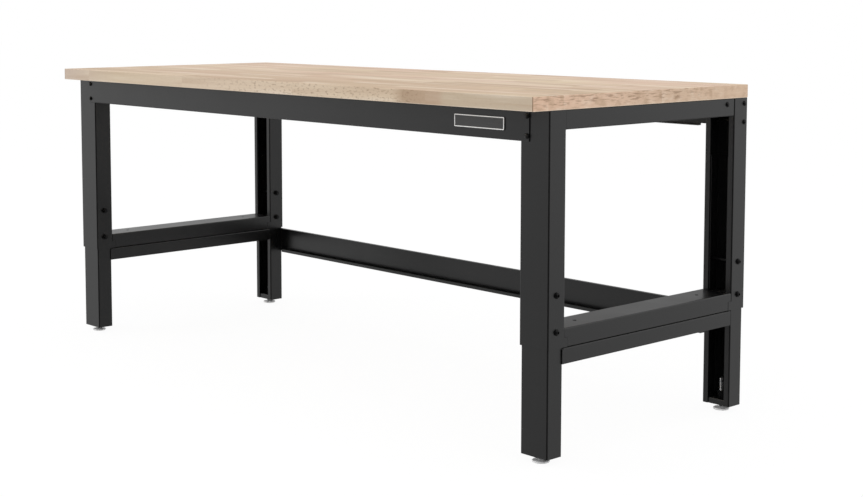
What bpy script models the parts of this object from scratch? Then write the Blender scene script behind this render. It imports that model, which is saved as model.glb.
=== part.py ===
"""Height-adjustable workbench: a solid wood top on a folded steel frame with telescoping legs.

Metres, +Z up.  The origin is on the floor under the middle of the wood top, +X runs along the
bench and -Y is the front, where the user stands.  Every piece is modelled at the lowest setting.
"""

import math

import bmesh
import bpy
from mathutils import Vector

# Wood top
TOP_LENGTH = 1.829
TOP_DEPTH = 0.720
TOP_THICKNESS = 0.030
TOP_HEIGHT = 0.762
TOP_EDGE = 0.0012

# How far the top reaches past the frame
FRONT_OVERHANG = 0.0495
REAR_OVERHANG = 0.0
END_OVERHANG = 0.0005

# Sheet steel and fits
SHEET = 0.002
INNER_BEND = 0.0005
FIT = 0.0003
TRIM = 0.0001
SLIDE_GAP = 0.0008
PLAY = 0.0005
BEND_STEPS = 3
HOLE_SIDES = 12

# Legs: lipped channels, the lower ones sliding inside the upper ones
LEG_WIDTH = 0.080
LEG_DEPTH = 0.050
LEG_LIP = 0.0145
LEG_CLEARANCE = 0.014
UPPER_LEG_BOTTOM = 0.2432
HOLE_PITCH = 0.0381
BOLT_STEPS_APART = 2
HEIGHT_STEPS = 6
FIRST_BOLT_RISE = 0.0345
HOLE_MARGIN = 0.0145

# Height bolts, with a socket in the head, and their nuts
HEIGHT_BOLT_RADIUS = 0.004
HEIGHT_HEAD_RADIUS = 0.0069
HEIGHT_HEAD_HEIGHT = 0.0052
HEIGHT_SOCKET_ACROSS = 0.005
HEIGHT_SOCKET_DEPTH = 0.003
HEIGHT_NUT_ACROSS = 0.013
HEIGHT_NUT_HEIGHT = 0.0065
HEX_CHAMFER = 0.0006
BOLT_TIP = 0.002

# Small bolts with plain domed heads
SMALL_BOLT_RADIUS = 0.003
SMALL_HEAD_RADIUS = 0.006
SMALL_HEAD_HEIGHT = 0.0042
SMALL_BOLT_LENGTH = 0.016
DOME_ANGLE = math.radians(60)
DOME_STEPS = 3

# Front and rear aprons
APRON_HEIGHT = 0.0655
APRON_TOP_FLANGE = 0.032
APRON_BOTTOM_FLANGE = 0.042
APRON_OVERLAP = 0.0255
APRON_BOLT_INSET = 0.0062
APRON_TOP_BOLT_DROP = 0.0128
APRON_BOTTOM_BOLT_RISE = 0.0115
FLANGE_END_GAP = 0.004
BOTTOM_FLANGE_END_GAP = 0.025
REAR_APRON_HEIGHT = 0.0710
REAR_APRON_BOTTOM_FLANGE = 0.012
REAR_BOTTOM_BOLT_RISE = 0.0156
REAR_NOTCH_LENGTH = 0.050
REAR_NOTCH_HEIGHT = 0.005
REAR_TAB_WIDTH = 0.022

# End aprons and the tongues on the legs that carry them
END_APRON_HEIGHT = 0.0402
END_APRON_TOP_FLANGE = 0.025
END_APRON_BOTTOM_FLANGE = 0.009
END_APRON_REAR_GAP = 0.0022
TONGUE_LENGTH = 0.042
TONGUE_BOLT_REACH = 0.026
TONGUE_ROOT = 0.0012

# End stretchers: the upper one stands just over the lower one at the lowest setting
UPPER_STRETCHER_HEIGHT = 0.0389
LOWER_STRETCHER_HEIGHT = 0.0338
STRETCHER_GAP = 0.0009
STRETCHER_BEND = 0.003
STRETCHER_REAR_GAP = 0.0015
STRETCHER_EAR_REACH = 0.0032
LEG_TAB_WIDTH = 0.0095
LEG_TAB_HEIGHT = 0.020
STRETCHER_TONGUE_REACH = 0.010
SHELF_HOLE_RADIUS = 0.0045
SHELF_HOLE_INSET = 0.076

# Rear stretcher
REAR_STRETCHER_HEIGHT = 0.0721
REAR_STRETCHER_DROP = 0.0024
REAR_STRETCHER_TOP_FLANGE = 0.012
REAR_STRETCHER_BOTTOM_FLANGE = 0.022
REAR_STRETCHER_LIP = 0.009

# Levelling feet and the brackets that they screw into
FOOT_RADIUS = 0.0185
FOOT_RIM = 0.004
FOOT_CROWN_RADIUS = 0.011
FOOT_CROWN_HEIGHT = 0.009
FOOT_EDGE = 0.001
FOOT_COLLAR_ACROSS = 0.014
STUD_RADIUS = 0.005
STUD_LENGTH = 0.050
BRACKET_SHEET = 0.003
BRACKET_HEIGHT = 0.014
BRACKET_SIDE_GAP = 0.0008
BRACKET_NUT_ACROSS = 0.017
BRACKET_NUT_HEIGHT = 0.016
FOOT_SIDES = 24

# Bare name plate on the front apron
PLATE_WIDTH = 0.1474
PLATE_HEIGHT = 0.0272
PLATE_THICKNESS = 0.002
PLATE_CORNER = 0.002
PLATE_FROM_LEG = 0.0427
PLATE_RISE = 0.0005

# Wood screws that hold the top down
SCREW_RADIUS = 0.0022
SCREW_HEAD_RADIUS = 0.0045
SCREW_HEAD_HEIGHT = 0.0028
SCREW_LENGTH = 0.024
SCREW_SOCKET_ACROSS = 0.003
SCREW_SOCKET_DEPTH = 0.0016
SCREW_INSET = 0.018
SCREW_FROM_LEG = 0.260

# What follows from the sizes above
BEND = SHEET + INNER_BEND
HALF_LENGTH = TOP_LENGTH / 2 - END_OVERHANG
HALF_DEPTH = (TOP_DEPTH - FRONT_OVERHANG - REAR_OVERHANG) / 2
FRAME_Y = FRONT_OVERHANG + HALF_DEPTH - TOP_DEPTH / 2
TOP_UNDERSIDE = TOP_HEIGHT - TOP_THICKNESS
FRAME_TOP = TOP_UNDERSIDE - FIT
INSET = SHEET + SLIDE_GAP
LEG_INNER = HALF_LENGTH - LEG_WIDTH
LEG_FLANGES = ((HALF_LENGTH, HALF_LENGTH - SHEET), (LEG_INNER + SHEET, LEG_INNER))
LIP_PLANE = HALF_DEPTH - LEG_DEPTH
LOWER_LIP_PLANE = LIP_PLANE + INSET
LEG_MIDDLE_X = HALF_LENGTH - LEG_WIDTH / 2
LEG_MIDDLE_Y = HALF_DEPTH - LEG_DEPTH / 2
FIRST_BOLT = UPPER_LEG_BOTTOM + FIRST_BOLT_RISE
HEIGHT_BOLTS = {"lower": FIRST_BOLT, "upper": FIRST_BOLT + BOLT_STEPS_APART * HOLE_PITCH}
LEG_HOLES = [FIRST_BOLT + i * HOLE_PITCH for i in range(HEIGHT_STEPS + BOLT_STEPS_APART + 1)]
LOWER_LEG_TOP = LEG_HOLES[-1] + HOLE_MARGIN
APRON_BOTTOM = FRAME_TOP - APRON_HEIGHT
APRON_BOLTS = {
    "lower": APRON_BOTTOM + APRON_BOTTOM_BOLT_RISE,
    "upper": FRAME_TOP - APRON_TOP_BOLT_DROP,
}
APRON_BACK = HALF_DEPTH + FIT
APRON_FACE = APRON_BACK + SHEET
APRON_END = LEG_INNER + APRON_OVERLAP
FRONT_BOLT_X = APRON_END - APRON_BOLT_INSET
REAR_APRON_BOTTOM = FRAME_TOP - REAR_APRON_HEIGHT
REAR_NOTCH_TOP = REAR_APRON_BOTTOM + REAR_NOTCH_HEIGHT
REAR_TAB_END = LEG_INNER - FIT
REAR_BOLT_Y = HALF_DEPTH - REAR_TAB_WIDTH / 2
REAR_BOLTS = {
    "lower": REAR_APRON_BOTTOM + REAR_BOTTOM_BOLT_RISE,
    "upper": FRAME_TOP - APRON_TOP_BOLT_DROP,
}
END_APRON_BOTTOM = FRAME_TOP - END_APRON_HEIGHT
TONGUE_FACE = HALF_LENGTH - SHEET - FIT
TONGUE_BOLT_Y = LIP_PLANE - TONGUE_BOLT_REACH
TONGUE_BOLT_Z = FRAME_TOP - APRON_TOP_BOLT_DROP
LOWER_STRETCHER_TOP = UPPER_LEG_BOTTOM - STRETCHER_GAP
LOWER_STRETCHER_BOTTOM = LOWER_STRETCHER_TOP - LOWER_STRETCHER_HEIGHT
UPPER_STRETCHER_BOTTOM = UPPER_LEG_BOTTOM + STRETCHER_GAP
UPPER_STRETCHER_TOP = UPPER_STRETCHER_BOTTOM + UPPER_STRETCHER_HEIGHT
REAR_STRETCHER_TOP = UPPER_LEG_BOTTOM - REAR_STRETCHER_DROP
REAR_STRETCHER_BOTTOM = REAR_STRETCHER_TOP - REAR_STRETCHER_HEIGHT
BRACKET_TOP = LEG_CLEARANCE + BRACKET_HEIGHT
BRACKET_UNDERSIDE = BRACKET_TOP - BRACKET_SHEET
SCREW_X = LEG_INNER - SCREW_FROM_LEG
SCREWS = {"left": -SCREW_X, "middle": 0, "right": SCREW_X}

LEFT_RIGHT = {"left": -1, "right": 1}
FRONT_REAR = {"front": -1, "rear": 1}
CORNERS = [
    (f"{end}_{side}", x_sign, y_sign)
    for end, y_sign in FRONT_REAR.items()
    for side, x_sign in LEFT_RIGHT.items()
]


def clear_scene():
    for old in list(bpy.data.objects):
        bpy.data.objects.remove(old, do_unlink=True)


def make_material(name, colour, roughness, metallic):
    made = bpy.data.materials.new(name)
    made.use_nodes = True
    shader = made.node_tree.nodes["Principled BSDF"]
    shader.inputs["Base Color"].default_value = (*colour, 1.0)
    shader.inputs["Roughness"].default_value = roughness
    shader.inputs["Metallic"].default_value = metallic
    return made


def make_empty(name, location):
    empty = bpy.data.objects.new(name, None)
    empty.location = location
    bpy.context.collection.objects.link(empty)
    return empty


def make_object(name, mesh, material, parent, location=(0, 0, 0), direction=None):
    """An object from a bmesh; direction turns the mesh's own +Z that way."""
    data = bpy.data.meshes.new(name)
    mesh.to_mesh(data)
    mesh.free()
    made = bpy.data.objects.new(name, data)
    made.location = location
    made.parent = parent
    if direction is not None:
        made.rotation_euler = Vector(direction).to_track_quat("Z", "Y").to_euler()
    if material is not None:
        data.materials.append(material)
    bpy.context.collection.objects.link(made)
    return made


def shade_round(made, angle=math.radians(35)):
    made.data.shade_smooth()
    made.data.set_sharp_from_angle(angle=angle)


def combine(target, operation, meshes):
    """A Boolean of the target with several closed shapes, kept as one hidden helper object."""
    joined = bmesh.new()
    for mesh in meshes:
        step = bpy.data.meshes.new("helper")
        mesh.to_mesh(step)
        mesh.free()
        joined.from_mesh(step)
        bpy.data.meshes.remove(step)
    helper = make_object(f"{target.name}_{operation.lower()}", joined, None, target.parent)
    helper.hide_render = True
    helper.display_type = "WIRE"
    modifier = target.modifiers.new(operation.lower(), "BOOLEAN")
    modifier.operation = operation
    modifier.solver = "EXACT"
    modifier.object = helper


def prism(outline, low, high, place):
    """A closed shape: an outline in (u, v) swept from low to high, set in space by place(u, v, w)."""
    mesh = bmesh.new()
    bottom = [mesh.verts.new(place(u, v, low)) for u, v in outline]
    top = [mesh.verts.new(place(u, v, high)) for u, v in outline]
    mesh.faces.new(bottom)
    mesh.faces.new(top)
    for i in range(len(outline)):
        j = (i + 1) % len(outline)
        mesh.faces.new((bottom[i], bottom[j], top[j], top[i]))
    bmesh.ops.recalc_face_normals(mesh, faces=mesh.faces)
    return mesh


def box(x, y, z):
    """A closed box from three (low, high) pairs, given in either order."""
    outline = [(x[0], y[0]), (x[1], y[0]), (x[1], y[1]), (x[0], y[1])]
    return prism(outline, z[0], z[1], lambda u, v, w: (u, v, w))


def folded(corners, sheet=SHEET, bend=BEND):
    """Outline of a sheet folded at right angles, always to the same hand: outer line out, inner back."""
    points = [Vector(corner) for corner in corners]
    runs = [(b - a).normalized() for a, b in zip(points, points[1:])]
    outer = [points[0]]
    inner = [points[0] + runs[1] * sheet]
    for corner, into, out_of in zip(points[1:-1], runs, runs[1:]):
        centre = corner + bend * (out_of - into)
        for step in range(BEND_STEPS + 1):
            angle = math.pi / 2 * step / BEND_STEPS
            spoke = into * math.sin(angle) - out_of * math.cos(angle)
            outer.append(centre + spoke * bend)
            inner.append(centre + spoke * (bend - sheet))
    outer.append(points[-1])
    inner.append(points[-1] - runs[-2] * sheet)
    return outer + inner[::-1]


def rounded(width, height, radius):
    """Outline of a rectangle about the origin with round corners."""
    points = []
    for quarter, (u, v) in enumerate([(1, 1), (-1, 1), (-1, -1), (1, -1)]):
        centre = Vector((u * (width / 2 - radius), v * (height / 2 - radius)))
        for step in range(BEND_STEPS + 1):
            angle = math.pi / 2 * (quarter + step / BEND_STEPS)
            points.append(centre + radius * Vector((math.cos(angle), math.sin(angle))))
    return points


def circle(angle):
    return 1.0


def hexagon(angle):
    """Radius of a hexagon at an angle, for an inner radius of 1."""
    return 1 / math.cos((angle + math.pi / 6) % (math.pi / 3) - math.pi / 6)


def turned(rings, sides=HOLE_SIDES, bored=False):
    """A closed shape from rings of (height, radius, form) along +Z; a bored one joins last to first."""
    mesh = bmesh.new()
    loops = []
    for height, radius, form in rings:
        angles = [2 * math.pi * i / sides for i in range(sides)]
        loops.append(
            [
                mesh.verts.new((radius * form(a) * math.cos(a), radius * form(a) * math.sin(a), height))
                for a in angles
            ]
        )
    pairs = list(zip(loops, loops[1:]))
    if bored:
        pairs.append((loops[-1], loops[0]))
    else:
        mesh.faces.new(loops[0])
        mesh.faces.new(loops[-1])
    for first, second in pairs:
        for i in range(sides):
            j = (i + 1) % sides
            mesh.faces.new((first[i], first[j], second[j], second[i]))
    bmesh.ops.recalc_face_normals(mesh, faces=mesh.faces)
    return mesh


def rod(start, end, radius, sides=HOLE_SIDES):
    """A round cutter between two points."""
    start, end = Vector(start), Vector(end)
    mesh = turned([(0, radius, circle), ((end - start).length, radius, circle)], sides)
    turn = (end - start).to_track_quat("Z", "Y").to_matrix()
    bmesh.ops.rotate(mesh, matrix=turn, verts=mesh.verts)
    bmesh.ops.translate(mesh, vec=start, verts=mesh.verts)
    return mesh


def domed_bolt(length, radius, head_radius, head, socket=()):
    """A bolt along +Z from its seat at the origin, with a domed head below; socket is rings in its face."""
    rings = list(socket)
    for step in range(DOME_STEPS + 1):
        angle = DOME_ANGLE * (1 - step / DOME_STEPS)
        drop = head * math.sin(angle) / math.sin(DOME_ANGLE)
        rings.append((-drop, head_radius * math.cos(angle), circle))
    return turned([*rings, (0, radius, circle), (length, radius, circle)])


def hex_socket(head, across, depth):
    return [(depth - head, across / 2, hexagon), (-head, across / 2, hexagon)]


def height_bolt(length):
    socket = hex_socket(HEIGHT_HEAD_HEIGHT, HEIGHT_SOCKET_ACROSS, HEIGHT_SOCKET_DEPTH)
    return domed_bolt(length, HEIGHT_BOLT_RADIUS, HEIGHT_HEAD_RADIUS, HEIGHT_HEAD_HEIGHT, socket)


def apron_bolt(length=SMALL_BOLT_LENGTH):
    return domed_bolt(length, SMALL_BOLT_RADIUS, SMALL_HEAD_RADIUS, SMALL_HEAD_HEIGHT)


def top_screw():
    socket = hex_socket(SCREW_HEAD_HEIGHT, SCREW_SOCKET_ACROSS, SCREW_SOCKET_DEPTH)
    return domed_bolt(SCREW_LENGTH, SCREW_RADIUS, SCREW_HEAD_RADIUS, SCREW_HEAD_HEIGHT, socket)


def hex_nut(height, across, bore):
    return turned(
        [
            (0, across / 2 - HEX_CHAMFER, circle),
            (HEX_CHAMFER, across / 2, hexagon),
            (height - HEX_CHAMFER, across / 2, hexagon),
            (height, across / 2 - HEX_CHAMFER, circle),
            (height, bore, circle),
            (0, bore, circle),
        ],
        bored=True,
    )


def leg_outline(inset):
    """A lipped channel: u runs in from the bench's end, v in from its front or rear face."""
    low, wide, deep = inset, LEG_WIDTH - inset, LEG_DEPTH - inset
    return folded(
        [
            (low + LEG_LIP, deep),
            (low, deep),
            (low, low),
            (wide, low),
            (wide, deep),
            (wide - LEG_LIP, deep),
        ]
    )


def leg_place(x_sign, y_sign):
    return lambda u, v, w: (x_sign * (HALF_LENGTH - u), y_sign * (HALF_DEPTH - v), w)


def across_leg(x_sign, y, z, radius):
    """A cutter through both flanges of a leg."""
    start = (x_sign * (LEG_INNER - SHEET), y, z)
    end = (x_sign * (HALF_LENGTH + SHEET), y, z)
    return rod(start, end, radius)


def make_upper_leg(name, x_sign, y_sign, steel, parent):
    """A front leg's outer flange runs on flat where the end apron and the stretcher meet it."""
    mesh = prism(leg_outline(0), UPPER_LEG_BOTTOM, FRAME_TOP, leg_place(x_sign, y_sign))
    leg = make_object(f"upper_leg_{name}", mesh, steel, parent)
    tongue_rise = SHEET + INNER_BEND + PLAY
    tongue = box(
        (x_sign * (TONGUE_FACE - SHEET), x_sign * TONGUE_FACE),
        (y_sign * (LIP_PLANE + TONGUE_ROOT), y_sign * (LIP_PLANE - TONGUE_LENGTH)),
        (END_APRON_BOTTOM + tongue_rise, FRAME_TOP - tongue_rise),
    )
    lip_root = y_sign * (LIP_PLANE + 2 * BEND)
    tabs = [
        box(
            (x_sign * outer, x_sign * inner),
            (y_sign * (LIP_PLANE - LEG_TAB_WIDTH), lip_root),
            (UPPER_LEG_BOTTOM, UPPER_LEG_BOTTOM + LEG_TAB_HEIGHT),
        )
        for outer, inner in LEG_FLANGES
    ]
    combine(leg, "UNION", [tongue, *tabs])
    if y_sign < 0:
        flats = ((UPPER_LEG_BOTTOM + LEG_TAB_HEIGHT / 2, UPPER_STRETCHER_TOP), (END_APRON_BOTTOM, FRAME_TOP))
        flange = (x_sign * HALF_LENGTH, x_sign * (HALF_LENGTH - SHEET))
        combine(leg, "UNION", [box(flange, (-LIP_PLANE, lip_root), heights) for heights in flats])
    holes = [
        across_leg(x_sign, y_sign * LEG_MIDDLE_Y, z, HEIGHT_BOLT_RADIUS + PLAY)
        for z in HEIGHT_BOLTS.values()
    ]
    hole = SMALL_BOLT_RADIUS + PLAY
    if y_sign < 0:
        x = x_sign * FRONT_BOLT_X
        for z in APRON_BOLTS.values():
            holes.append(rod((x, -HALF_DEPTH - SHEET, z), (x, -HALF_DEPTH + 2 * SHEET, z), hole))
    else:
        for z in REAR_BOLTS.values():
            holes.append(across_leg(x_sign, REAR_BOLT_Y, z, hole))
        inside, outside = x_sign * (TONGUE_FACE - 2 * SHEET), x_sign * (TONGUE_FACE + SHEET)
        holes.append(
            rod((inside, TONGUE_BOLT_Y, TONGUE_BOLT_Z), (outside, TONGUE_BOLT_Y, TONGUE_BOLT_Z), hole)
        )
    combine(leg, "DIFFERENCE", holes)
    shade_round(leg)


def make_lower_leg(name, x_sign, y_sign, steel, parent):
    mesh = prism(leg_outline(INSET), LEG_CLEARANCE, LOWER_LEG_TOP, leg_place(x_sign, y_sign))
    leg = make_object(f"lower_leg_{name}", mesh, steel, parent)
    radius = HEIGHT_BOLT_RADIUS + PLAY
    combine(
        leg,
        "DIFFERENCE",
        [across_leg(x_sign, y_sign * LEG_MIDDLE_Y, z, radius) for z in LEG_HOLES],
    )
    shade_round(leg)


def make_height_bolts(name, x_sign, y_sign, dark, parent):
    grip = LEG_WIDTH + 2 * FIT
    length = grip + HEIGHT_NUT_HEIGHT + BOLT_TIP
    inward = (-x_sign, 0, 0)
    for level, z in HEIGHT_BOLTS.items():
        seat = (x_sign * (HALF_LENGTH + FIT), y_sign * LEG_MIDDLE_Y, z)
        bolt = make_object(f"height_bolt_{name}_{level}", height_bolt(length), dark, parent, seat, inward)
        shade_round(bolt)
        seat = (x_sign * (LEG_INNER - FIT), y_sign * LEG_MIDDLE_Y, z)
        mesh = hex_nut(HEIGHT_NUT_HEIGHT, HEIGHT_NUT_ACROSS, HEIGHT_BOLT_RADIUS + PLAY)
        make_object(f"height_nut_{name}_{level}", mesh, dark, parent, seat, inward)


def make_foot(name, x_sign, y_sign, steel, zinc, parent):
    """A levelling foot, and the bracket in the end of the lower leg that it screws into."""
    wall = INSET + SHEET + FIT
    low = wall + BRACKET_SIDE_GAP
    place = leg_place(x_sign, y_sign)
    outline = folded(
        [
            (wall, LEG_CLEARANCE),
            (wall, BRACKET_TOP),
            (LEG_DEPTH - wall, BRACKET_TOP),
            (LEG_DEPTH - wall, LEG_CLEARANCE),
        ],
        BRACKET_SHEET,
        BRACKET_SHEET + INNER_BEND,
    )
    mesh = prism(outline, low, LEG_WIDTH - low, lambda u, v, w: place(w, u, v))
    bracket = make_object(f"foot_bracket_{name}", mesh, steel, parent)
    x, y = x_sign * LEG_MIDDLE_X, y_sign * LEG_MIDDLE_Y
    across = BRACKET_NUT_ACROSS / 2
    nut = turned(
        [
            (BRACKET_TOP - BRACKET_SHEET / 2, across, hexagon),
            (BRACKET_TOP + BRACKET_NUT_HEIGHT, across, hexagon),
        ],
        FOOT_SIDES,
    )
    bmesh.ops.translate(nut, vec=(x, y, 0), verts=nut.verts)
    combine(bracket, "UNION", [nut])
    bore_top = BRACKET_TOP + BRACKET_NUT_HEIGHT + BRACKET_SHEET
    bore = rod((x, y, LEG_CLEARANCE), (x, y, bore_top), STUD_RADIUS + PLAY, FOOT_SIDES)
    combine(bracket, "DIFFERENCE", [bore])
    collar_top = BRACKET_UNDERSIDE - FIT
    collar = FOOT_COLLAR_ACROSS / 2
    stud_top = collar_top + STUD_LENGTH
    mesh = turned(
        [
            (0, FOOT_RADIUS - FOOT_EDGE, circle),
            (FOOT_EDGE, FOOT_RADIUS, circle),
            (FOOT_RIM, FOOT_RADIUS, circle),
            (FOOT_CROWN_HEIGHT, FOOT_CROWN_RADIUS, circle),
            (FOOT_CROWN_HEIGHT, collar, hexagon),
            (collar_top, collar, hexagon),
            (collar_top, STUD_RADIUS, circle),
            (stud_top - FOOT_EDGE, STUD_RADIUS, circle),
            (stud_top, STUD_RADIUS - FOOT_EDGE, circle),
        ],
        FOOT_SIDES,
    )
    foot = make_object(f"leveling_foot_{name}", mesh, zinc, parent, (x, y, 0))
    shade_round(foot)


def make_front_apron(steel, dark, parent):
    outline = folded(
        [
            (-APRON_FACE + APRON_TOP_FLANGE, FRAME_TOP),
            (-APRON_FACE, FRAME_TOP),
            (-APRON_FACE, APRON_BOTTOM),
            (-APRON_FACE + APRON_BOTTOM_FLANGE, APRON_BOTTOM),
        ]
    )
    mesh = prism(outline, -APRON_END, APRON_END, lambda u, v, w: (w, u, v))
    apron = make_object("front_apron", mesh, steel, parent)
    behind = (-APRON_BACK - TRIM, -APRON_FACE + max(APRON_TOP_FLANGE, APRON_BOTTOM_FLANGE) + SHEET)
    middle = (APRON_BOTTOM + FRAME_TOP) / 2
    trims = []
    holes = []
    for x_sign in LEFT_RIGHT.values():
        past = x_sign * (APRON_END + SHEET)
        top_start = x_sign * (LEG_INNER - FLANGE_END_GAP)
        bottom_start = x_sign * (LEG_INNER - BOTTOM_FLANGE_END_GAP)
        trims.append(box((top_start, past), behind, (middle, FRAME_TOP + SHEET)))
        trims.append(box((bottom_start, past), behind, (APRON_BOTTOM - SHEET, middle - TRIM)))
        x = x_sign * FRONT_BOLT_X
        for z in APRON_BOLTS.values():
            radius = SMALL_BOLT_RADIUS + PLAY
            holes.append(rod((x, -APRON_FACE - SHEET, z), (x, -APRON_BACK + SHEET, z), radius))
    holes.extend(screw_hole(x, -APRON_FACE + SCREW_INSET) for x in SCREWS.values())
    combine(apron, "DIFFERENCE", trims)
    combine(apron, "DIFFERENCE", holes)
    shade_round(apron)
    for side, x_sign in LEFT_RIGHT.items():
        for level, z in APRON_BOLTS.items():
            name = f"front_apron_bolt_{side}_{level}"
            seat = (x_sign * FRONT_BOLT_X, -APRON_FACE - FIT, z)
            bolt = make_object(name, apron_bolt(), dark, parent, seat, (0, 1, 0))
            shade_round(bolt)


def make_rear_apron(steel, dark, parent):
    outline = folded(
        [
            (HALF_DEPTH - APRON_TOP_FLANGE, FRAME_TOP),
            (HALF_DEPTH, FRAME_TOP),
            (HALF_DEPTH, REAR_APRON_BOTTOM),
            (HALF_DEPTH - REAR_APRON_BOTTOM_FLANGE, REAR_APRON_BOTTOM),
        ]
    )
    mesh = prism(outline, -REAR_TAB_END, REAR_TAB_END, lambda u, v, w: (w, u, v))
    apron = make_object("rear_apron", mesh, steel, parent)
    tabs = [
        box(
            (x_sign * REAR_TAB_END, x_sign * (REAR_TAB_END - SHEET)),
            (HALF_DEPTH - SHEET / 2, HALF_DEPTH - REAR_TAB_WIDTH),
            (REAR_NOTCH_TOP + BEND, FRAME_TOP - SHEET / 2),
        )
        for x_sign in LEFT_RIGHT.values()
    ]
    combine(apron, "UNION", tabs)
    hole = SMALL_BOLT_RADIUS + PLAY
    cuts = []
    for x_sign in LEFT_RIGHT.values():
        past = x_sign * (REAR_TAB_END + SHEET)
        cuts.append(
            box(
                (x_sign * (LEG_INNER - REAR_NOTCH_LENGTH), past),
                (HALF_DEPTH + SHEET, HALF_DEPTH - REAR_TAB_WIDTH),
                (REAR_APRON_BOTTOM - SHEET, REAR_NOTCH_TOP),
            )
        )
        inside = x_sign * (REAR_TAB_END - 2 * SHEET)
        for z in REAR_BOLTS.values():
            cuts.append(rod((past, REAR_BOLT_Y, z), (inside, REAR_BOLT_Y, z), hole))
    cuts.extend(screw_hole(x, HALF_DEPTH - SCREW_INSET) for x in SCREWS.values())
    combine(apron, "DIFFERENCE", cuts)
    shade_round(apron)
    length = LEG_WIDTH + 2 * FIT + SHEET + BOLT_TIP
    for side, x_sign in LEFT_RIGHT.items():
        for level, z in REAR_BOLTS.items():
            name = f"rear_apron_bolt_{side}_{level}"
            seat = (x_sign * (HALF_LENGTH + FIT), REAR_BOLT_Y, z)
            bolt = make_object(name, apron_bolt(length), dark, parent, seat, (-x_sign, 0, 0))
            shade_round(bolt)


def make_end_apron(side, x_sign, steel, dark, parent):
    """Its front end is fixed from behind, on the front leg's tongue; its rear end is bolted."""
    outline = folded(
        [
            (END_APRON_TOP_FLANGE, FRAME_TOP),
            (0, FRAME_TOP),
            (0, END_APRON_BOTTOM),
            (END_APRON_BOTTOM_FLANGE, END_APRON_BOTTOM),
        ]
    )
    rear = LIP_PLANE - END_APRON_REAR_GAP
    mesh = prism(outline, FIT - LIP_PLANE, rear, lambda u, v, w: (x_sign * (HALF_LENGTH - u), w, v))
    apron = make_object(f"end_apron_{side}", mesh, steel, parent)
    inside = (x_sign * (HALF_LENGTH - 2 * SHEET), TONGUE_BOLT_Y, TONGUE_BOLT_Z)
    outside = (x_sign * (HALF_LENGTH + SHEET), TONGUE_BOLT_Y, TONGUE_BOLT_Z)
    combine(apron, "DIFFERENCE", [rod(inside, outside, SMALL_BOLT_RADIUS + PLAY)])
    shade_round(apron)
    seat = (x_sign * (HALF_LENGTH + FIT), TONGUE_BOLT_Y, TONGUE_BOLT_Z)
    bolt = make_object(f"end_apron_bolt_{side}", apron_bolt(), dark, parent, seat, (-x_sign, 0, 0))
    shade_round(bolt)


def stretcher_outline(low, high):
    """An inverted channel as wide as a leg; u runs in from the bench's end."""
    return folded([(LEG_WIDTH, low), (LEG_WIDTH, high), (0, high), (0, low)], bend=STRETCHER_BEND)


def make_upper_stretcher(side, x_sign, steel, parent):
    reach = LIP_PLANE - FIT
    outline = stretcher_outline(UPPER_STRETCHER_BOTTOM, UPPER_STRETCHER_TOP)
    mesh = prism(outline, -reach, reach, lambda u, v, w: (x_sign * (HALF_LENGTH - u), w, v))
    stretcher = make_object(f"upper_stretcher_{side}", mesh, steel, parent)
    across = (x_sign * (HALF_LENGTH + SHEET), x_sign * (LEG_INNER - SHEET))
    cuts = []
    for y_sign, gap in ((-1, FIT), (1, STRETCHER_REAR_GAP)):
        cuts.append(
            box(
                across,
                (y_sign * (LIP_PLANE - LEG_TAB_WIDTH - gap), y_sign * (LIP_PLANE + SHEET)),
                (UPPER_LEG_BOTTOM - SHEET, UPPER_LEG_BOTTOM + LEG_TAB_HEIGHT + PLAY),
            )
        )
        x, y = x_sign * LEG_MIDDLE_X, y_sign * (LIP_PLANE - SHELF_HOLE_INSET)
        low, high = UPPER_STRETCHER_TOP - 2 * SHEET, UPPER_STRETCHER_TOP + SHEET
        cuts.append(rod((x, y, low), (x, y, high), SHELF_HOLE_RADIUS))
    combine(stretcher, "DIFFERENCE", cuts)
    shade_round(stretcher)


def make_lower_stretcher(side, x_sign, steel, parent):
    """Its walls run past the lower front leg's lips, and its top runs on between the lips at both ends."""
    outline = stretcher_outline(LOWER_STRETCHER_BOTTOM, LOWER_STRETCHER_TOP)
    front, rear = FIT - LOWER_LIP_PLANE, LIP_PLANE - FIT
    mesh = prism(outline, front, rear, lambda u, v, w: (x_sign * (HALF_LENGTH - u), w, v))
    stretcher = make_object(f"lower_stretcher_{side}", mesh, steel, parent)
    half_width = LEG_WIDTH / 2 - INSET - LEG_LIP - FIT
    tongue = box(
        (x_sign * LEG_MIDDLE_X - half_width, x_sign * LEG_MIDDLE_X + half_width),
        (-LOWER_LIP_PLANE - STRETCHER_TONGUE_REACH, LOWER_LIP_PLANE + STRETCHER_TONGUE_REACH),
        (LOWER_STRETCHER_TOP - SHEET, LOWER_STRETCHER_TOP),
    )
    ears = [
        box(
            (x_sign * outer, x_sign * inner),
            (front + STRETCHER_BEND, -LOWER_LIP_PLANE - STRETCHER_EAR_REACH),
            (LOWER_STRETCHER_BOTTOM, LOWER_STRETCHER_TOP - STRETCHER_BEND),
        )
        for outer, inner in LEG_FLANGES
    ]
    combine(stretcher, "UNION", [tongue, *ears])
    shade_round(stretcher)


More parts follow.
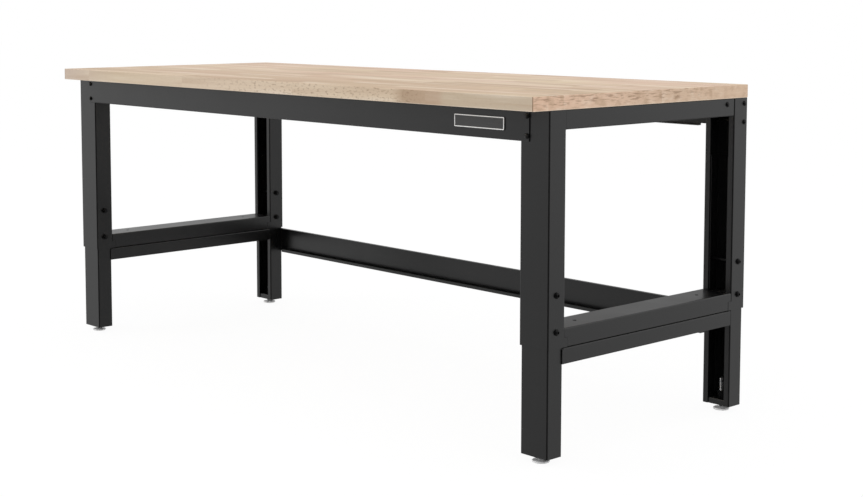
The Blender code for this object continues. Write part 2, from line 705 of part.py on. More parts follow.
def make_rear_stretcher(steel, parent):
    back = HALF_DEPTH - INSET
    front = back - REAR_STRETCHER_BOTTOM_FLANGE
    end = LEG_INNER + INSET - FIT
    lip_top = REAR_STRETCHER_BOTTOM + REAR_STRETCHER_LIP
    outline = folded(
        [
            (back - REAR_STRETCHER_TOP_FLANGE, REAR_STRETCHER_TOP),
            (back, REAR_STRETCHER_TOP),
            (back, REAR_STRETCHER_BOTTOM),
            (front, REAR_STRETCHER_BOTTOM),
            (front, lip_top),
        ]
    )
    mesh = prism(outline, -end, end, lambda u, v, w: (w, u, v))
    stretcher = make_object("rear_stretcher", mesh, steel, parent)
    tabs = []
    cuts = []
    for x_sign in LEFT_RIGHT.values():
        tabs.append(
            box(
                (x_sign * end, x_sign * (end - SHEET)),
                (back - SHEET / 2, back - REAR_TAB_WIDTH),
                (lip_top + SHEET, REAR_STRETCHER_TOP - BEND),
            )
        )
        cuts.append(
            box(
                (x_sign * (LEG_INNER - BOTTOM_FLANGE_END_GAP), x_sign * (end + SHEET)),
                (back - SHEET - TRIM, front - SHEET),
                (REAR_STRETCHER_BOTTOM - SHEET, lip_top + TRIM),
            )
        )
    combine(stretcher, "UNION", tabs)
    combine(stretcher, "DIFFERENCE", cuts)
    shade_round(stretcher)


def make_name_plate(finish, parent):
    outline = rounded(PLATE_WIDTH, PLATE_HEIGHT, PLATE_CORNER)
    mesh = prism(outline, 0, PLATE_THICKNESS, lambda u, v, w: (u, -w, v))
    x = LEG_INNER - PLATE_FROM_LEG - PLATE_WIDTH / 2
    z = (APRON_BOTTOM + FRAME_TOP) / 2 + PLATE_RISE
    make_object("name_plate", mesh, finish, parent, (x, -APRON_FACE - FIT, z))


def screw_hole(x, y):
    """A cutter through an apron's top flange, under the wood."""
    return rod((x, y, FRAME_TOP - 2 * SHEET), (x, y, FRAME_TOP + SHEET), SCREW_RADIUS + PLAY)


def make_top(wood, zinc, parent):
    front = -HALF_DEPTH - FRONT_OVERHANG
    mesh = box(
        (-TOP_LENGTH / 2, TOP_LENGTH / 2), (front, front + TOP_DEPTH), (TOP_UNDERSIDE, TOP_HEIGHT)
    )
    top = make_object("work_top", mesh, wood, parent)
    eased = top.modifiers.new("eased_edges", "BEVEL")
    eased.width = TOP_EDGE
    eased.segments = 2
    seat = FRAME_TOP - SHEET - FIT
    screw_top = seat + SCREW_LENGTH
    holes = []
    for end, y in (("front", -APRON_FACE + SCREW_INSET), ("rear", HALF_DEPTH - SCREW_INSET)):
        for spot, x in SCREWS.items():
            holes.append(rod((x, y, TOP_UNDERSIDE - SHEET), (x, y, screw_top + PLAY), SCREW_RADIUS + PLAY))
            name = f"top_screw_{end}_{spot}"
            screw = make_object(name, top_screw(), zinc, parent, (x, y, seat), (0, 0, 1))
            shade_round(screw)
    combine(top, "DIFFERENCE", holes)


def main():
    clear_scene()
    steel = make_material("black_powder_coat", (0.033, 0.033, 0.034), 0.55, 0.0)
    dark = make_material("black_oxide", (0.012, 0.012, 0.012), 0.4, 0.6)
    zinc = make_material("bright_zinc", (0.62, 0.63, 0.64), 0.3, 1.0)
    wood = make_material("oiled_hardwood", (0.60, 0.44, 0.30), 0.55, 0.0)
    plate = make_material("plate_enamel", (0.05, 0.05, 0.05), 0.35, 0.0)
    lower_frame = make_empty("lower_frame", (0, FRAME_Y, 0))
    upper_frame = make_empty("upper_frame", (0, FRAME_Y, 0))
    make_top(wood, zinc, upper_frame)
    make_front_apron(steel, dark, upper_frame)
    make_rear_apron(steel, dark, upper_frame)
    make_name_plate(plate, upper_frame)
    make_rear_stretcher(steel, lower_frame)
    for side, x_sign in LEFT_RIGHT.items():
        make_end_apron(side, x_sign, steel, dark, upper_frame)
        make_upper_stretcher(side, x_sign, steel, upper_frame)
        make_lower_stretcher(side, x_sign, steel, lower_frame)
    for name, x_sign, y_sign in CORNERS:
        make_upper_leg(name, x_sign, y_sign, steel, upper_frame)
        make_height_bolts(name, x_sign, y_sign, dark, upper_frame)
        make_lower_leg(name, x_sign, y_sign, steel, lower_frame)
        make_foot(name, x_sign, y_sign, steel, zinc, lower_frame)


main()
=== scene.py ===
"""The looks of the height-adjustable workbench: finishes, small hardware, stage, light and camera."""

import math

import bmesh
import bpy
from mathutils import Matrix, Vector


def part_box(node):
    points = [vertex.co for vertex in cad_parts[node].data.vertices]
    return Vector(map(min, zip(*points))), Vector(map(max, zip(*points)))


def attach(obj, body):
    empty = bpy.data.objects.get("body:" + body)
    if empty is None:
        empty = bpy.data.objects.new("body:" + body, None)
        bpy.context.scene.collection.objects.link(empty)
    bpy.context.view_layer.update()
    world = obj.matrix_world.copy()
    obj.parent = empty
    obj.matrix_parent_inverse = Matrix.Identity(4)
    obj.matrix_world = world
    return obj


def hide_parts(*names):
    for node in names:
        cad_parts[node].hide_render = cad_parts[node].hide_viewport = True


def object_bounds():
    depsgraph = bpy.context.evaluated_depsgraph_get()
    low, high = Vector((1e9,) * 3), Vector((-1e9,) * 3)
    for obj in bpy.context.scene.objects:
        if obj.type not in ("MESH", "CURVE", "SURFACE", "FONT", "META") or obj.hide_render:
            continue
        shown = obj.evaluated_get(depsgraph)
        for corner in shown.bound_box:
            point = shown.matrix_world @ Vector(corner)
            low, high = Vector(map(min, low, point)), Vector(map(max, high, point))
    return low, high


# Camera, from the fit of the photograph's straight edges
CAMERA_PLACE = (2.9814, -2.5762, 0.9428)
CAMERA_TILT = math.radians(84.982)
CAMERA_TURN = math.radians(47.82)
CAMERA_LENS = 63.74
CAMERA_SENSOR = 36.0
CAMERA_SHIFT = (0.0311, -0.1264)

# White studio: mirrors see it dark in front of the bench's right end, and greyer at the back and below
DARK_SIDE = (0.669, -0.743, 0.0)
DARK_LEVEL = 0.05
DARK_FROM, DARK_TO = -0.15, 0.65
BACK_SIDE = (-0.45, 0.893, 0.0)
BACK_LEVEL = 0.40
BACK_FROM, BACK_TO = 0.72, 0.97
LOW_LEVEL = 0.64
LOW_FROM, LOW_TO = 0.0, -0.30
WORLD_FILL = 0.86

# Floor: white to the camera, and clear to mirrors, which see the studio below it
FLOOR_SIZE = 60.0
FLOOR_DROP = 0.0004
FLOOR_GREY = 0.90
FLOOR_SHADOW = 0.08
FLOOR_WHITE = 1.02

# Lamps: places and sizes in metres, power in watts
LAMPS = {
    "lamp_left": {"place": (-3.2, -3.4, 3.2), "size": 2.4, "power": 28},
    "lamp_top": {"place": (0.6, -0.6, 3.6), "size": 2.6, "power": 14},
    "lamp_right": {"place": (4.2, -0.6, 2.6), "size": 2.4, "power": 17},
}
LAMP_AIM = Vector((0.0, 0.0, 0.45))

# Wood top: staves along the bench, cut into blocks that start at a random place in each stave
STAVE_WIDTH = 0.045
BLOCK_LENGTH = 0.46
START_SPREAD = 5.0
START_SEED = 3.7
BLOCK_SEED = 11.0
GRAIN_SHIFT = 30.0
GLUE_LINE = 0.0005
# Painted shade along the top's upright corners: how far it reaches on the front and rear faces, and on
# the ends
CORNER_SHADE_WIDTH = 0.0028
CORNER_SHADE_DEPTH = 0.0005

# Wood noise, in cycles per metre along X, Y and Z
PATCH_SCALES = (2.6, 9.0, 14.0)
STREAK_SCALES = (2.2, 34.0, 60.0)
FIBRE_SCALES = (8.0, 420.0, 420.0)
END_FLECK_SCALES = (1.0, 36.0, 300.0)
FRONT_FLECK_SCALES = (95.0, 1.0, 210.0)

# Wood colours: the front's run from its left end to its right, and the ends' from front to rear
WOOD_TONES = [
    (0.00, (0.510, 0.365, 0.240)),
    (0.25, (0.625, 0.475, 0.325)),
    (0.50, (0.690, 0.505, 0.370)),
    (0.75, (0.705, 0.560, 0.380)),
    (1.00, (0.800, 0.650, 0.490)),
]
WOOD_PINK = (0.715, 0.505, 0.385)
WOOD_WARM = (0.530, 0.370, 0.232)
WOOD_STREAK = (0.460, 0.310, 0.200)
# Brown of the flecks and glue lines, also used as painted shade along the top's upright corners
WOOD_BROWN_AND_SHADE = (0.245, 0.138, 0.078)
WOOD_PALE = (0.860, 0.760, 0.630)
FRONT_BLOCKS = [
    (0.00, (0.650, 0.535, 0.440)),
    (0.15, (0.705, 0.580, 0.420)),
    (0.40, (0.765, 0.625, 0.475)),
    (0.77, (0.755, 0.615, 0.450)),
    (0.79, (0.490, 0.355, 0.235)),
    (0.85, (0.545, 0.395, 0.275)),
    (0.86, (0.590, 0.480, 0.345)),
    (1.00, (0.600, 0.495, 0.370)),
]
END_TONES = [
    (0.00, (0.680, 0.460, 0.325)),
    (0.25, (0.685, 0.480, 0.345)),
    (0.65, (0.615, 0.445, 0.315)),
    (1.00, (0.660, 0.480, 0.340)),
]

# Brush marks of the plate, in cycles per metre along X, Y and Z
BRUSH_SCALES = (12.0, 1.0, 900.0)

# Sheet steel of the frame, its fits, and how turned pieces are made
SHEET = 0.002
FIT_GAP = 0.0003
CONTACT = 0.00004
TURNED_SIDES = 24
SHARP_ANGLE = math.radians(32)

# Lock nuts
NUT_ACROSS = 0.010
NUT_BORE_RADIUS = 0.00306
NUT_HEIGHT = 0.0052
NUT_CHAMFER = 0.0006
NUT_COLLAR = 0.0016
NUT_COLLAR_INSET = 0.0008
NUT_COLLAR_ROUND = 0.0008

# Levelling feet: the disc's outline is height and depth inside its radius,
# and the neck's is height and reach past the collar
DISC_TOP = 0.006
DISC_FADE = 0.002
DISC_OUTLINE = [
    (0.0, 0.0012),
    (0.0004, 0.0004),
    (0.0010, 0.0),
    (0.0030, 0.0),
    (0.0037, 0.0004),
    (0.0041, 0.0012),
]
NECK_OUTLINE = [(0.0052, 0.0030), (0.0060, 0.0014), (0.0076, -0.0004)]
COLLAR_RADIUS = 0.007
COLLAR_BOTTOM = 0.0082
COLLAR_CHAMFER = 0.0006
COLLAR_INSET = 0.0004
STUD_RADIUS = 0.005
STUD_LENGTH = 0.050
STUD_POINT = 0.0012
STUD_TAPER = 0.0014
THREAD_START = 0.0004
THREAD_PITCH = 0.0015
THREAD_DEPTH = 0.0008
THREAD_STEPS = 8

# Raised border of the plate
RIM_WIDTH = 0.0022
RIM_INSET = 0.0003
RIM_RISE = 0.0005
RIM_SIDE = 0.00035
RIM_BEVEL = 0.0002
RIM_CORNER = 0.0018
RIM_LEAST_CORNER = 0.0004
RIM_CORNER_STEPS = 6

SIDES = {"left": -1, "right": 1}
ENDS = ("front", "rear")

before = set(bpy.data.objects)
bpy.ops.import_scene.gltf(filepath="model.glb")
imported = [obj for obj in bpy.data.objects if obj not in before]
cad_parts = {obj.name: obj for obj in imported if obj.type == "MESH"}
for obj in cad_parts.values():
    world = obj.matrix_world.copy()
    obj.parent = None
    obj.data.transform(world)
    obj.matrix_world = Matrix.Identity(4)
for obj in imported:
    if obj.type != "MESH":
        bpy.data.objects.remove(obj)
cad_low, cad_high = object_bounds()


class Graph:
    """Short calls that build the nodes of one material or world."""

    def __init__(self, owner):
        owner.use_nodes = True
        self.owner = owner
        self.nodes = owner.node_tree.nodes
        self.links = owner.node_tree.links

    def node(self, kind, **settings):
        made = self.nodes.new(kind)
        for key, value in settings.items():
            setattr(made, key, value)
        return made

    def feed(self, socket, value):
        """Link an output to a socket, or set the socket's own value."""
        if isinstance(value, bpy.types.NodeSocket):
            self.links.new(value, socket)
        else:
            socket.default_value = value

    def math(self, operation, a, b=0.0, c=0.0):
        made = self.node("ShaderNodeMath", operation=operation)
        for socket, value in zip(made.inputs, (a, b, c)):
            self.feed(socket, value)
        return made.outputs[0]

    def product(self, first, *others):
        for other in others:
            first = self.math("MULTIPLY", first, other)
        return first

    def vector(self, x, y, z):
        made = self.node("ShaderNodeCombineXYZ")
        for socket, value in zip(made.inputs, (x, y, z)):
            self.feed(socket, value)
        return made.outputs[0]

    def dot(self, a, b):
        made = self.node("ShaderNodeVectorMath", operation="DOT_PRODUCT")
        self.feed(made.inputs[0], a)
        self.feed(made.inputs[1], b)
        return made.outputs["Value"]

    def coordinates(self, kind):
        """A point, direction or normal of the surface, whole and split in three."""
        vector = self.node("ShaderNodeTexCoord").outputs[kind]
        split = self.node("ShaderNodeSeparateXYZ")
        self.feed(split.inputs[0], vector)
        return vector, split.outputs

    def noise(self, point, scale, detail=2.0, roughness=0.5):
        made = self.node("ShaderNodeTexNoise")
        self.feed(made.inputs["Vector"], point)
        made.inputs["Scale"].default_value = scale
        made.inputs["Detail"].default_value = detail
        made.inputs["Roughness"].default_value = roughness
        return made.outputs["Fac"]

    def stretched(self, x, y, z, scales, detail=2.0, roughness=0.5):
        """Noise with its own number of cycles per metre along each axis."""
        parts = [self.math("MULTIPLY", value, scale) for value, scale in zip((x, y, z), scales)]
        return self.noise(self.vector(*parts), 1.0, detail, roughness)

    def random(self, point):
        made = self.node("ShaderNodeTexWhiteNoise", noise_dimensions="3D")
        self.feed(made.inputs["Vector"], point)
        return made.outputs["Value"]

    def ramp(self, factor, stops):
        made = self.node("ShaderNodeValToRGB")
        elements = made.color_ramp.elements
        while len(elements) < len(stops):
            elements.new(1.0)
        for element, (position, colour) in zip(elements, stops):
            element.position = position
            element.color = (*colour, 1.0)
        self.feed(made.inputs["Fac"], factor)
        return made.outputs["Color"]

    def span(self, value, low, high, new_low=0.0, new_high=1.0):
        """A smooth step of value from low to high, as new_low to new_high."""
        made = self.node("ShaderNodeMapRange", interpolation_type="SMOOTHSTEP")
        settings = {"From Min": low, "From Max": high, "To Min": new_low, "To Max": new_high}
        for key, number in settings.items():
            self.feed(made.inputs[key], number)
        self.feed(made.inputs["Value"], value)
        return made.outputs["Result"]

    def mix(self, factor, a, b):
        """One colour that fades from a to b."""
        made = self.node("ShaderNodeMix", data_type="RGBA")
        sockets = {s.identifier: s for s in made.inputs}
        self.feed(sockets["Factor_Float"], factor)
        for key, value in (("A_Color", a), ("B_Color", b)):
            self.feed(sockets[key], value if isinstance(value, bpy.types.NodeSocket) else (*value, 1.0))
        return next(s for s in made.outputs if s.identifier == "Result_Color")

    def blend(self, factor, a, b):
        """One shader that fades from a to b."""
        made = self.node("ShaderNodeMixShader")
        for socket, value in zip(made.inputs, (factor, a, b)):
            self.feed(socket, value)
        return made.outputs[0]

    def bump(self, height, strength, distance):
        made = self.node("ShaderNodeBump")
        made.inputs["Strength"].default_value = strength
        made.inputs["Distance"].default_value = distance
        self.feed(made.inputs["Height"], height)
        return made.outputs["Normal"]

    def surface(self, **values):
        """Set or link the Principled shader's sockets, and give back the finished material."""
        names = {s.name.lower().replace(" ", "_"): s for s in self.nodes["Principled BSDF"].inputs}
        for key, value in values.items():
            self.feed(names[key], value)
        return self.owner

    def rays(self):
        """1 for a camera ray, and 1 for any ray that sees the background: camera, mirror or glass."""
        path = self.node("ShaderNodeLightPath").outputs
        mirror = self.math("MAXIMUM", path["Is Glossy Ray"], path["Is Transmission Ray"])
        return path["Is Camera Ray"], self.math("MAXIMUM", path["Is Camera Ray"], mirror)


def finish(name):
    return Graph(bpy.data.materials.new(name))


def powder_coat():
    """Satin black powder coat: faint cloudiness and fine orange peel."""
    g = finish("black_powder_coat")
    point, _ = g.coordinates("Object")
    cloud = g.noise(point, scale=7.0, detail=3.0)
    speck = g.noise(point, scale=1400.0, detail=1.0)
    peel = g.noise(point, scale=420.0)
    tone = g.math("MULTIPLY_ADD", cloud, 0.5, g.math("MULTIPLY", speck, 0.5))
    grain = g.math("MULTIPLY_ADD", speck, 0.3, peel)
    return g.surface(
        base_color=g.ramp(tone, [(0.3, (0.0025, 0.0025, 0.0026)), (0.7, (0.0065, 0.0065, 0.0067))]),
        specular_ior_level=0.57,
        roughness=g.span(cloud, 0.25, 0.75, 0.28, 0.34),
        normal=g.bump(grain, strength=0.08, distance=0.0003),
    )


def black_oxide(name, specular):
    """Blackened fastener steel, a little oily and worn to grey in specks."""
    g = finish(name)
    point, _ = g.coordinates("Object")
    cloud = g.noise(point, scale=160.0, detail=3.0)
    grain = g.noise(point, scale=900.0)
    return g.surface(
        base_color=g.ramp(cloud, [(0.35, (0.0015, 0.0015, 0.0016)), (0.75, (0.008, 0.008, 0.0085))]),
        specular_ior_level=specular,
        roughness=g.span(cloud, 0.3, 0.7, 0.30, 0.46),
        normal=g.bump(grain, strength=0.1, distance=0.0003),
    )


def bright_zinc():
    """Zinc plating with cloudy roughness and fine turning marks, less metallic on the feet's discs."""
    g = finish("bright_zinc")
    point, (_, _, z) = g.coordinates("Object")
    cloud = g.noise(point, scale=90.0, detail=3.0)
    turning = g.noise(g.vector(0.0, 0.0, z), scale=2600.0, detail=1.0)
    return g.surface(
        base_color=g.ramp(cloud, [(0.3, (0.90, 0.905, 0.91)), (0.7, (0.96, 0.962, 0.965))]),
        metallic=g.span(z, DISC_TOP, DISC_TOP + DISC_FADE, 0.1, 0.95),
        roughness=g.span(cloud, 0.3, 0.7, 0.16, 0.28),
        normal=g.bump(turning, strength=0.05, distance=0.0003),
    )


def plate_enamel():
    """Dark enamel of the bare plate, with a faint brushed sheen."""
    g = finish("plate_enamel")
    _, (x, _, z) = g.coordinates("Object")
    brush = g.stretched(x, 0.0, z, BRUSH_SCALES)
    return g.surface(
        base_color=g.ramp(brush, [(0.3, (0.034, 0.034, 0.034)), (0.7, (0.050, 0.050, 0.050))]),
        roughness=g.span(brush, 0.3, 0.7, 0.30, 0.40),
        normal=g.bump(brush, strength=0.06, distance=0.0002),
    )


def pale_enamel():
    """Pale paint on the plate's raised border."""
    g = finish("pale_enamel")
    point, _ = g.coordinates("Object")
    cloud = g.noise(point, scale=220.0, detail=3.0)
    return g.surface(
        base_color=g.ramp(cloud, [(0.3, (0.84, 0.84, 0.83)), (0.7, (0.95, 0.95, 0.94))]),
        roughness=g.span(cloud, 0.3, 0.7, 0.38, 0.52),
    )


class WoodPoint:
    """A point of the top: its place in metres and as shares of the top's size, and the face it is on."""

    def __init__(self, g):
        low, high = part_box("work_top")
        _, (self.x, self.y, self.z) = g.coordinates("Object")
        _, (facing_x, facing_y, _) = g.coordinates("Normal")
        self.on_end = g.span(g.math("ABSOLUTE", facing_x), 0.5, 0.7)
        self.on_front = g.span(facing_y, -0.5, -0.7)
        from_front = g.math("SUBTRACT", self.y, low.y)
        self.along = g.math("DIVIDE", g.math("SUBTRACT", self.x, low.x), high.x - low.x)
        self.back = g.math("DIVIDE", from_front, high.y - low.y)
        self.up = g.math("DIVIDE", g.math("SUBTRACT", self.z, low.z), high.z - low.z)
        self.stave = g.math("DIVIDE", from_front, STAVE_WIDTH)
        self.from_end = g.math("SUBTRACT", (high.x - low.x) / 2, g.math("ABSOLUTE", self.x))
        self.from_side = g.math("SUBTRACT", (high.y - low.y) / 2, g.math("ABSOLUTE", self.y))


def wood_blocks(g, at):
    """Colour of each block, pinker in patches and warmer to the front, and the block's random number."""
    row = g.math("FLOOR", at.stave)
    start = g.math("MULTIPLY", g.random(g.vector(row, START_SEED, 0.0)), START_SPREAD)
    block = g.math("FLOOR", g.math("ADD", start, g.math("DIVIDE", at.x, BLOCK_LENGTH)))
    pick = g.random(g.vector(row, block, BLOCK_SEED))
    patch = g.stretched(at.x, at.y, at.z, PATCH_SCALES)
    colour = g.ramp(pick, WOOD_TONES)
    colour = g.mix(g.span(patch, 0.42, 0.62, 0.0, 0.7), colour, WOOD_PINK)
    colour = g.mix(g.span(at.back, 0.80, 0.15, 0.0, 0.55), colour, WOOD_WARM)
    colour = g.mix(at.on_front, colour, g.ramp(at.along, FRONT_BLOCKS))
    colour = g.mix(at.on_end, colour, g.ramp(at.back, END_TONES))
    return colour, pick


def wood_grain(g, at, colour, pick):
    """The colour with soft streaks and fine fibres, each block with its own, and the fibres' noise."""
    own = g.math("MULTIPLY_ADD", pick, GRAIN_SHIFT, at.x)
    streak = g.stretched(own, at.y, at.z, STREAK_SCALES, detail=3.0)
    fibre = g.stretched(own, at.y, at.z, FIBRE_SCALES, detail=3.0, roughness=0.6)
    darkness = g.span(at.on_front, 0.0, 1.0, 0.6, 0.3)
    paleness = g.span(at.on_end, 0.0, 1.0, 0.5, 0.25)
    colour = g.mix(g.span(streak, 0.50, 0.70, 0.0, darkness), colour, WOOD_STREAK)
    colour = g.mix(g.span(streak, 0.48, 0.30, 0.0, paleness), colour, WOOD_PALE)
    colour = g.mix(g.span(fibre, 0.45, 0.75, 0.0, 0.16), colour, WOOD_STREAK)
    return colour, fibre


def wood_flecks(g, at):
    """Brown flecks: dashes on the upper part of the ends, specks on the right half of the front."""
    dash = g.span(g.stretched(0.0, at.y, at.z, END_FLECK_SCALES, detail=2.5), 0.50, 0.64)
    upper = g.span(at.up, 0.15, 0.45, 0.25, 1.0)
    forward = g.span(at.back, 0.90, 0.62, 0.15, 1.0)
    speck = g.span(g.stretched(at.x, 0.0, at.z, FRONT_FLECK_SCALES, detail=2.5), 0.52, 0.68)
    right = g.span(at.along, 0.30, 0.56, 0.1, 1.0)
    before_last_block = g.span(at.along, 0.83, 0.80, 0.15, 1.0)
    end_fleck = g.product(dash, upper, forward, at.on_end)
    front_fleck = g.product(speck, right, before_last_block, at.on_front, 0.8)
    return g.math("MAXIMUM", end_fleck, front_fleck)


def glue_lines_and_corner_shade(g, at):
    """Glue lines between the staves, and painted shade along each upright corner of the top."""
    glue = g.span(g.math("PINGPONG", at.stave, 0.5), 0.0, GLUE_LINE / STAVE_WIDTH, 0.16, 0.0)
    shade_near_end = g.span(at.from_end, CORNER_SHADE_WIDTH, CORNER_SHADE_WIDTH * 0.8)
    shade_near_side = g.span(at.from_side, CORNER_SHADE_DEPTH, CORNER_SHADE_DEPTH * 0.8)
    return g.math("MAXIMUM", glue, g.product(shade_near_end, shade_near_side, 0.9))


def hardwood():
    """A glued panel of pale staves, with flecked ends, browner front blocks, a pale lower edge and
    painted shade on its upright corners.
    """
    g = finish("oiled_hardwood")
    at = WoodPoint(g)
    colour, pick = wood_blocks(g, at)
    colour, fibre = wood_grain(g, at, colour, pick)
    fleck = wood_flecks(g, at)
    colour = g.mix(g.math("MULTIPLY", fleck, 0.6), colour, WOOD_BROWN_AND_SHADE)
    colour = g.mix(g.span(at.up, 0.07, 0.03, 0.0, 0.45), colour, WOOD_PALE)
    # Glue lines, and painted shade along the top's upright corners
    colour = g.mix(glue_lines_and_corner_shade(g, at), colour, WOOD_BROWN_AND_SHADE)
    return g.surface(
        base_color=colour,
        roughness=g.span(fibre, 0.3, 0.7, 0.52, 0.64),
        normal=g.bump(g.math("SUBTRACT", fibre, fleck), strength=0.08, distance=0.0004),
    )


def new_piece(name, mesh, material, body):
    """An object from a mesh, smooth apart from its sharp edges, that rides on a body."""
    data = bpy.data.meshes.new(name)
    mesh.to_mesh(data)
    mesh.free()
    data.materials.append(material)
    data.shade_smooth()
    data.set_sharp_from_angle(angle=SHARP_ANGLE)
    made = bpy.data.objects.new(name, data)
    bpy.context.collection.objects.link(made)
    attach(made, body)
    return made


def hexagon(angle):
    """Radius of a hexagon at an angle, for an inner radius of 1."""
    return 1 / math.cos((angle + math.pi / 6) % (math.pi / 3) - math.pi / 6)


def circle(angle):
    """Radius of a circle of radius 1, the same at every angle."""
    return 1.0


def join_loops(mesh, first, second):
    """A band of faces between two loops of as many points."""
    count = len(first)
    for i in range(count):
        j = (i + 1) % count
        mesh.faces.new((first[i], first[j], second[j], second[i]))


def turned(rings, bored=False):
    """A closed shape from rings of (height, radius, form) along +Z; a bored one joins last to first."""
    mesh = bmesh.new()
    angles = [2 * math.pi * i / TURNED_SIDES for i in range(TURNED_SIDES)]
    loops = []
    for height, radius, form in rings:
        spots = [(radius * form(a) * math.cos(a), radius * form(a) * math.sin(a), height) for a in angles]
        loops.append([mesh.verts.new(spot) for spot in spots])
    if not bored:
        mesh.faces.new(loops[0])
        mesh.faces.new(loops[-1])
    for first, second in zip(loops, loops[1:]):
        join_loops(mesh, first, second)
    if bored:
        join_loops(mesh, loops[-1], loops[0])
    bmesh.ops.recalc_face_normals(mesh, faces=mesh.faces)
    return mesh


def aim(mesh, seat, direction):
    """Turn a mesh's +Z to a direction and move its origin to a seat."""
    turn = Vector(direction).to_track_quat("Z", "Y").to_matrix()
    bmesh.ops.rotate(mesh, matrix=turn, verts=mesh.verts)
    bmesh.ops.translate(mesh, vec=Vector(seat), verts=mesh.verts)
    return mesh


def middle(node):
    low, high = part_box(node)
    return (low + high) / 2


def make_camera():
    data = bpy.data.cameras.new("camera")
    data.sensor_fit = "HORIZONTAL"
    data.sensor_width = CAMERA_SENSOR
    data.lens = CAMERA_LENS
    data.shift_x, data.shift_y = CAMERA_SHIFT
    camera = bpy.data.objects.new("camera", data)
    camera.location = CAMERA_PLACE
    camera.rotation_euler = (CAMERA_TILT, 0.0, CAMERA_TURN)
    bpy.context.collection.objects.link(camera)
    bpy.context.scene.camera = camera


def floor_finish():
    """White to the camera apart from the object's soft shadow, and clear to mirrors."""
    g = finish("pale_floor")
    g.nodes.remove(g.nodes["Principled BSDF"])
    camera, seen = g.rays()
    matte = g.node("ShaderNodeBsdfDiffuse")
    matte.inputs["Color"].default_value = (FLOOR_GREY, FLOOR_GREY, FLOOR_GREY, 1.0)
    glow = g.node("ShaderNodeEmission")
    glow.inputs["Strength"].default_value = FLOOR_WHITE
    clear = g.node("ShaderNodeBsdfTransparent")
    white = g.blend(g.math("MULTIPLY", camera, 1.0 - FLOOR_SHADOW), matte.outputs[0], glow.outputs[0])
    whole = g.blend(g.math("SUBTRACT", seen, camera), white, clear.outputs[0])
    g.feed(g.nodes["Material Output"].inputs["Surface"], whole)
    return g.owner


def make_floor():
    mesh = bmesh.new()
    bmesh.ops.create_grid(mesh, x_segments=4, y_segments=4, size=FLOOR_SIZE / 2)
    bmesh.ops.translate(mesh, vec=(0.0, 0.0, cad_low.z - FLOOR_DROP), verts=mesh.verts)
    data = bpy.data.meshes.new("floor")
    mesh.to_mesh(data)
    mesh.free()
    data.materials.append(floor_finish())
    floor = bpy.data.objects.new("floor", data)
    bpy.context.collection.objects.link(floor)


def make_world():
    """White behind the object, an even fill on it, and in mirrors a studio that fades to a dark side."""
    world = bpy.data.worlds.new("studio")
    bpy.context.scene.world = world
    g = Graph(world)
    direction, (_, _, up) = g.coordinates("Generated")
    camera, seen = g.rays()
    dark = g.span(g.dot(direction, DARK_SIDE), DARK_FROM, DARK_TO, 1.0, DARK_LEVEL)
    back = g.span(g.dot(direction, BACK_SIDE), BACK_FROM, BACK_TO, 1.0, BACK_LEVEL)
    low = g.span(up, LOW_FROM, LOW_TO, 1.0, LOW_LEVEL)
    level = g.span(seen, 0.0, 1.0, WORLD_FILL, g.product(dark, back, low))
    background = g.nodes["Background"]
    background.inputs["Color"].default_value = (1.0, 1.0, 1.0, 1.0)
    g.feed(background.inputs["Strength"], g.math("MAXIMUM", level, camera))


def make_lamps():
    for name, lamp in LAMPS.items():
        data = bpy.data.lights.new(name, "AREA")
        data.shape = "DISK"
        data.size = lamp["size"]
        data.energy = lamp["power"]
        made = bpy.data.objects.new(name, data)
        made.location = lamp["place"]
        made.rotation_euler = (LAMP_AIM - Vector(lamp["place"])).to_track_quat("-Z", "Y").to_euler()
        bpy.context.collection.objects.link(made)


def dress_nodes(finishes):
    """Give each CAD node its finish: the first word that its name holds decides."""
    for name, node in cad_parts.items():
        material = next(m for word, m in finishes if word in name)
        node.data.materials.clear()
        node.data.materials.append(material)


def rounded_loop(mesh, node, inset, rise):
    """A rounded rectangle inside a plate's outline, raised off its front face."""
    low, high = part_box(node)
    centre = (low + high) / 2
    radius = max(RIM_CORNER - inset, RIM_LEAST_CORNER)
    half_width = (high.x - low.x) / 2 - inset - radius
    half_height = (high.z - low.z) / 2 - inset - radius
    loop = []
    for quarter, (u, v) in enumerate([(1, 1), (-1, 1), (-1, -1), (1, -1)]):
        for step in range(RIM_CORNER_STEPS + 1):
            angle = math.pi / 2 * (quarter + step / RIM_CORNER_STEPS)
            along = u * half_width + radius * math.cos(angle)
            up = v * half_height + radius * math.sin(angle)
            loop.append(mesh.verts.new((centre.x + along, low.y - rise, centre.z + up)))
    return loop


def make_plate_rim(paint):
    """The plate's raised pale border; the field inside stays bare."""
    mesh = bmesh.new()
    section = [
        (RIM_INSET, CONTACT),
        (RIM_INSET, RIM_SIDE),
        (RIM_INSET + RIM_BEVEL, RIM_RISE),
        (RIM_WIDTH - RIM_BEVEL, RIM_RISE),
        (RIM_WIDTH, RIM_SIDE),
        (RIM_WIDTH, CONTACT),
    ]
    loops = [rounded_loop(mesh, "name_plate", inset, rise) for inset, rise in section]
    for first, second in zip(loops, [*loops[1:], loops[0]]):
        join_loops(mesh, first, second)
    bmesh.ops.recalc_face_normals(mesh, faces=mesh.faces)
    new_piece("plate_rim", mesh, paint, "upper_frame")


def threaded(bottom, top, radius):
    """Rings of a stud whose radius follows a screw thread that fades out at both ends."""
    rings = []
    count = int((top - bottom) / THREAD_PITCH * THREAD_STEPS)
    for k in range(count + 1):
        height = bottom + (top - bottom) * k / count
        fade = min(1.0, (top - height) / THREAD_PITCH, (height - bottom) / THREAD_PITCH)

        def form(angle, height=height, fade=fade):
            turn = (height / THREAD_PITCH - angle / (2 * math.pi)) % 1.0
            groove = 1 - abs(2 * turn - 1)
            return 1 - fade * groove * THREAD_DEPTH / radius

        rings.append((height, radius, form))
    return rings


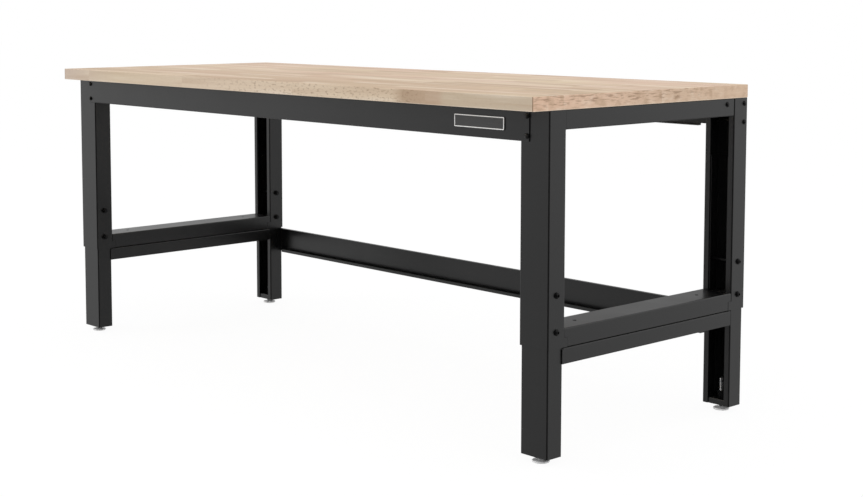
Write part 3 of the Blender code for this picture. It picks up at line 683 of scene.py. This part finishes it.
def make_foot(corner, zinc):
    """A levelling foot with a rounded disc, a hexagon collar and a threaded stud."""
    node = f"leveling_foot_{corner}"
    low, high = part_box(node)
    radius = (high.x - low.x) / 2
    collar_top = high.z - STUD_LENGTH
    rings = [
        *((height, radius - inset, circle) for height, inset in DISC_OUTLINE),
        *((height, COLLAR_RADIUS + reach, circle) for height, reach in NECK_OUTLINE),
        (COLLAR_BOTTOM, COLLAR_RADIUS, hexagon),
        (collar_top - COLLAR_CHAMFER, COLLAR_RADIUS, hexagon),
        (collar_top, COLLAR_RADIUS - COLLAR_INSET, circle),
        (collar_top, STUD_RADIUS, circle),
        *threaded(collar_top + THREAD_START, high.z - STUD_POINT, STUD_RADIUS),
        (high.z, STUD_RADIUS - STUD_TAPER, circle),
    ]
    mesh = turned(rings)
    bmesh.ops.translate(mesh, vec=(middle(node).x, middle(node).y, low.z), verts=mesh.verts)
    foot = new_piece(f"threaded_foot_{corner}", mesh, zinc, f"foot_{corner}")
    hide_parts(node)


def lock_nut(name, seat, direction, oxide):
    """A hexagon lock nut with a rounded collar, standing off its seat along a direction."""
    radius = NUT_ACROSS / 2
    collar_radius = radius - NUT_COLLAR_INSET
    collar_top = NUT_HEIGHT + NUT_COLLAR
    rings = [
        (0.0, radius - NUT_CHAMFER, circle),
        (NUT_CHAMFER, radius, hexagon),
        (NUT_HEIGHT - NUT_CHAMFER, radius, hexagon),
        (NUT_HEIGHT, radius - NUT_CHAMFER, circle),
        (NUT_HEIGHT, collar_radius, circle),
        (NUT_HEIGHT + NUT_COLLAR * 0.7, collar_radius - NUT_COLLAR_ROUND * 0.25, circle),
        (collar_top, collar_radius - NUT_COLLAR_ROUND, circle),
        (collar_top, NUT_BORE_RADIUS, circle),
        (0.0, NUT_BORE_RADIUS, circle),
    ]
    mesh = aim(turned(rings, bored=True), seat, direction)
    new_piece(name, mesh, oxide, "upper_frame")


def make_nuts(oxide):
    """Lock nuts behind the small bolts, on the sheet that each bolt clamps."""
    for side, x_sign in SIDES.items():
        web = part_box(f"upper_leg_front_{side}")[0].y + SHEET + CONTACT
        tab = x_sign * (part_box("rear_apron")[1].x - SHEET - CONTACT)
        for level in ("lower", "upper"):
            spot = middle(f"front_apron_bolt_{side}_{level}")
            lock_nut(f"front_apron_nut_{side}_{level}", (spot.x, web, spot.z), (0, 1, 0), oxide)
            spot = middle(f"rear_apron_bolt_{side}_{level}")
            lock_nut(f"rear_apron_nut_{side}_{level}", (tab, spot.y, spot.z), (-x_sign, 0, 0), oxide)
        low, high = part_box(f"end_apron_{side}")
        face = high.x if x_sign > 0 else low.x
        tongue = face - x_sign * (2 * SHEET + FIT_GAP + CONTACT)
        spot = middle(f"end_apron_bolt_{side}")
        lock_nut(f"end_apron_nut_{side}", (tongue, spot.y, spot.z), (-x_sign, 0, 0), oxide)


def main():
    bpy.context.scene.view_settings.view_transform = "Standard"
    make_camera()
    make_floor()
    make_world()
    make_lamps()
    oxide = black_oxide("black_oxide", specular=0.22)
    zinc = bright_zinc()
    dress_nodes(
        [
            ("apron_bolt", black_oxide("black_zinc", specular=0.5)),
            ("bolt", oxide),
            ("nut", oxide),
            ("screw", zinc),
            ("leveling_foot", zinc),
            ("work_top", hardwood()),
            ("name_plate", plate_enamel()),
            ("", powder_coat()),
        ]
    )
    make_plate_rim(pale_enamel())
    for end in ENDS:
        for side in SIDES:
            make_foot(f"{end}_{side}", zinc)
    make_nuts(oxide)


main()
